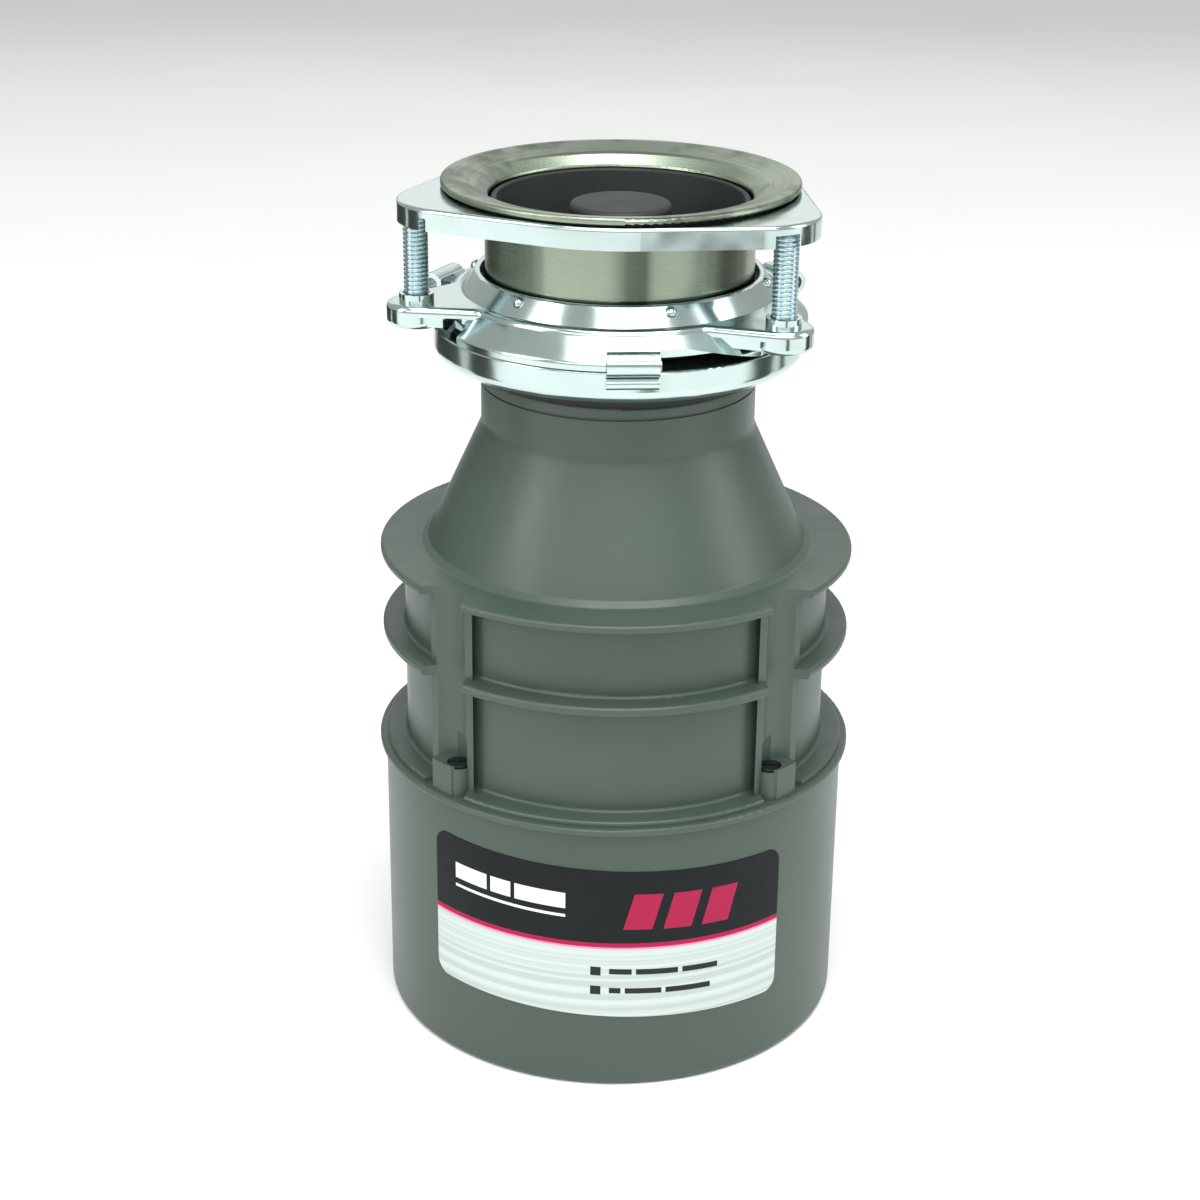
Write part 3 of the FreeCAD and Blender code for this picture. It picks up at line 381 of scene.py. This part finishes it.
def half_disc(x, y, radius, gap, low, high, side):
    """Prism of the part of a disc on one side (1 or -1) of a screwdriver slot; gap is half the slot's width."""
    reach, steps = math.asin(gap / radius), 28
    rim = [reach + (math.pi - 2 * reach) * k / steps for k in range(steps + 1)]
    loop = [(x + side * radius * math.cos(a), y + side * radius * math.sin(a)) for a in rim]
    count = len(loop)
    vertices = [(px, py, low) for px, py in loop] + [(px, py, high) for px, py in loop]
    faces = [tuple(range(count)), tuple(range(count, 2 * count))]
    for k in range(count):
        n = (k + 1) % count
        faces.append((k, n, count + n, count + k))
    return vertices, faces


def joined(*meshes):
    """Several lists of vertices and faces as one."""
    vertices, faces = [], []
    for points, loops in meshes:
        base = len(vertices)
        vertices += points
        faces += [tuple(base + i for i in loop) for loop in loops]
    return vertices, faces


PITCH = 1.411 * MM                           # 18 threads to the inch
CREST_SHARE, ROOT_SHARE = 0.637, 0.545       # of the head's radius
HEAD_T, SLOT_DEPTH, SLOT_HALF = 3.1 * MM, 1.6 * MM, 0.7 * MM
HEAD_BEVEL, OVERLAP = 0.35 * MM, 0.1 * MM
RUN_IN, TIP = 1.2 * MM, 0.5 * MM


def clamp_screw(side):
    """Threaded clamp screw with a slotted head, in place of the CAD's plain one."""
    low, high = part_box("mounting_screw_" + side)
    x, y = (low.x + high.x) / 2, (low.y + high.y) / 2
    head_r = (high.x - low.x) / 2
    seat, slot_top = low.z + HEAD_T, low.z + SLOT_DEPTH
    crest, root = head_r * CREST_SHARE, head_r * ROOT_SHARE

    def thread(radius, z, angle):
        """Radius of the thread's surface; the tip's rows, below the crest, stay as they are."""
        if radius < crest * 0.99:
            return radius
        phase = (z / PITCH - angle / (2 * math.pi)) % 1.0
        ridge = min(1.0, max(0.0, 1.9 - 3.6 * abs(phase - 0.5)))
        run_in = min(1.0, max(0.0, (z - seat) / RUN_IN))
        return root + (crest - root) * ridge * run_in

    count = math.ceil((high.z - 2 * TIP - seat) / (PITCH / 10))
    length = high.z - 0.8 * MM - seat
    rows = [(crest, seat - OVERLAP + length * k / count) for k in range(count + 1)]
    rows += [(root * 0.98, high.z - TIP), (root * 0.78, high.z)]
    plate = [(head_r, slot_top - OVERLAP), (head_r, seat - HEAD_BEVEL), (head_r - HEAD_BEVEL, seat)]
    shape = joined(lathe(rows, thread, 48, x, y), lathe(plate, None, 64, x, y),
                   half_disc(x, y, head_r, SLOT_HALF, low.z, slot_top, 1),
                   half_disc(x, y, head_r, SLOT_HALF, low.z, slot_top, -1))
    screw = piece("thread_" + side, *shape, LOOKS["screw_zinc"], "screw_zinc", "clamp_screw_" + side)
    screw.data.set_sharp_from_angle(angle=math.radians(50))
    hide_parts("mounting_screw_" + side)


LABEL_LOW, LABEL_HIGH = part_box("label_plate")
FILM_R = -LABEL_LOW.y
LABEL_TILT, LABEL_SHIFT, LABEL_LIFT = -0.032, -2.5 * MM, 0.8 * MM
CORNER_R, CORNER_STEPS = 5.0 * MM, 10
FILM_T, INK_HALF_T = 0.35 * MM, 0.05 * MM


def on_label(s, z, depth=0.0):
    """Point on the label film: s is the distance along it from its middle, and z its height before it is
    tilted."""
    angle = (s + LABEL_SHIFT) / FILM_R
    r = FILM_R + depth
    return (r * math.sin(angle), -r * math.cos(angle), z + LABEL_TILT * s + LABEL_LIFT)


def wrapped(name, look, rows, low, high):
    """Thin plate bent round the shell, between two depths. Each row is its height and its two ends."""
    columns = max(2, math.ceil(max(right - left for _, left, right in rows) / (0.7 * MM)))
    vertices, faces = [], []
    for depth in (low, high):
        for z, left, right in rows:
            vertices += [on_label(left + (right - left) * i / columns, z, depth)
                         for i in range(columns + 1)]
    width, last = columns + 1, len(rows) - 1
    layer = width * len(rows)
    for j in range(last):
        for i in range(columns):
            a = j * width + i
            faces.append((a, a + 1, a + width + 1, a + width))
            faces.append((layer + a, layer + a + 1, layer + a + width + 1, layer + a + width))
    border = list(range(width)) + [j * width + columns for j in range(1, last + 1)]
    border += [last * width + i for i in range(columns - 1, -1, -1)]
    border += [j * width for j in range(last - 1, 0, -1)]
    for k, a in enumerate(border):
        b = border[(k + 1) % len(border)]
        faces.append((a, b, layer + b, layer + a))
    return piece(name, vertices, faces, look, "label_print", "housing", smooth=False)


def label_film():
    """The label itself, with rounded corners and a slight tilt, in place of the CAD's level one."""
    half = FILM_R * math.asin(LABEL_HIGH.x / FILM_R)
    rows = []
    for k in range(CORNER_STEPS + 1):
        a = math.pi / 2 * k / CORNER_STEPS
        inset = CORNER_R * (1 - math.sin(a))
        rows.append((LABEL_LOW.z + CORNER_R * (1 - math.cos(a)), inset - half, half - inset))
    rows += [(LABEL_LOW.z + LABEL_HIGH.z - z, left, right) for z, left, right in reversed(rows)]
    film = wrapped("label_film", LOOKS["label_print"], rows, -FILM_T, 0.0)
    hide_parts("label_plate")


def ink_bar(name, look, s0, s1, z0, z1, slant=0.0):
    """Raised ink bar on the label, in millimetres; slant moves its top sideways."""
    rows = [((z0 + (z1 - z0) * v) * MM, (s0 + slant * v) * MM, (s1 + slant * v) * MM)
            for v in (0, 0.5, 1)]
    wrapped(name, look, rows, -INK_HALF_T, INK_HALF_T)


def label_art():
    """Generic print: a plain bar mark, three slanted crimson bars, and two list rows of dashes. Heights and
    ends are in millimetres."""
    white = ink_look("ink_white", (0.70, 0.76, 0.74))
    crimson = ink_look("ink_crimson", (0.34, 0.009, 0.055))
    black = ink_look("ink_black", (0.014, 0.018, 0.02))
    for k, (s0, s1) in enumerate([(-54, -41), (-39.5, -32), (-30.5, -13)]):
        ink_bar(f"mark_bar_{k}", white, s0, s1, 65.8, 71.4)
    ink_bar("mark_rule", white, -54, -13, 62.6, 63.6)
    for k in range(3):
        ink_bar(f"slant_bar_{k}", crimson, 6 + 13.2 * k, 15.5 + 13.2 * k, 59.5, 72.5, 3.6)
    list_rows = ((43.4, ((1.6, 9.0), (10.4, 24.5), (26.0, 38.5))),
                 (36.2, ((1.6, 5.4), (6.8, 19.0), (20.4, 36.0))))
    for row, (z, ends) in enumerate(list_rows):
        ink_bar(f"list_mark_{row}", black, -4.6, -1.2, z - 1.5, z + 1.7)
        for k, (s0, s1) in enumerate(ends):
            ink_bar(f"list_dash_{row}{k}", black, s0, s1, z - 0.8, z + 1.2)


# ---------------------------------------------------------------- stage
FLOOR_HALF = 12.0
AIM = Vector((0, 0, 0.16))                   # the lights point at the object's middle
# name, place, width, height, watts
SOFTBOXES = (
    ("left_softbox", (-1.3, -0.7, 0.95), 0.45, 1.3, 11),
    ("right_softbox", (1.5, -0.2, 0.8), 0.6, 1.2, 9),
    ("top_softbox", (0.1, -0.5, 1.6), 1.1, 1.1, 25),
    ("front_softbox", (0.0, -1.6, 1.05), 2.6, 0.8, 12),
    ("rear_softbox", (0.0, 1.7, 0.98), 2.4, 0.9, 4.5),
)
# name, angle about the object, distance, half the width, heights of the lower and upper edge
FLAGS = (
    ("flag_left", -88, 0.42, 0.09, 0.002, 0.26),
    ("flag_right", 92, 0.42, 0.08, 0.002, 0.24),
    ("flag_front", 17, 0.62, 0.06, 0.02, 0.14),
    ("flag_rear_left", -128, 0.52, 0.20, 0.03, 0.24),
    ("flag_rear_right", 114, 0.52, 0.035, 0.03, 0.24),
)


def soft_light(name, place, width, height, power):
    """Rectangular light that points at the object and that the camera doesn't see."""
    data = bpy.data.lights.new(name, "AREA")
    data.shape = "RECTANGLE"
    data.size, data.size_y = width, height
    data.energy = power
    light = bpy.data.objects.new(name, data)
    bpy.context.scene.collection.objects.link(light)
    light.location = place
    light.rotation_mode = "QUATERNION"
    light.rotation_quaternion = (AIM - Vector(place)).to_track_quat("-Z", "Y")
    light.visible_camera = False


def card(name, corners, look):
    """Flat piece of the stage, which isn't part of the object."""
    mesh = bpy.data.meshes.new(name)
    mesh.from_pydata(corners, [], [(0, 1, 2, 3)])
    made = bpy.data.objects.new(name, mesh)
    bpy.context.scene.collection.objects.link(made)
    dress(made, look)
    return made


def flag(name, angle, distance, half, low, high, look):
    """Dark upright card that shows only in reflections."""
    a = math.radians(angle)
    out, across = Vector((math.sin(a), -math.cos(a), 0)), Vector((math.cos(a), math.sin(a), 0))
    feet = [out * distance - across * half, out * distance + across * half]
    base, lift = Vector((0, 0, low)), Vector((0, 0, high))
    made = card(name, [feet[0] + base, feet[1] + base, feet[1] + lift, feet[0] + lift], look)
    made.visible_camera = made.visible_diffuse = made.visible_shadow = False


def cloth_look():
    """Dark cloth of the flags."""
    look = Look("flag_cloth")
    weave = look.noise(60, 3)
    tone = look.blend(look.spread(weave, 0, 1), (0.030, 0.036, 0.030), (0.05, 0.058, 0.05))
    look.set(Base_Color=tone, Roughness=0.95, Specular_IOR_Level=0.0)
    return look.material


def make_stage():
    """Pale floor and world, five soft lights, and five flags."""
    edge = FLOOR_HALF
    card("floor", [(-edge, -edge, 0), (edge, -edge, 0), (edge, edge, 0), (-edge, edge, 0)], floor_look())
    world = bpy.data.worlds.new("studio")
    world.use_nodes = True
    background = world.node_tree.nodes["Background"]
    background.inputs["Color"].default_value = (0.98, 1.0, 0.985, 1)
    background.inputs["Strength"].default_value = 0.55
    bpy.context.scene.world = world
    for softbox in SOFTBOXES:
        soft_light(*softbox)
    cloth = cloth_look()
    for shape in FLAGS:
        flag(*shape, cloth)


bpy.context.scene.view_settings.view_transform = "Standard"
make_camera()
dress_nodes()
for side in ("left", "right", "rear"):
    clamp_screw(side)
label_film()
label_art()
make_stage()
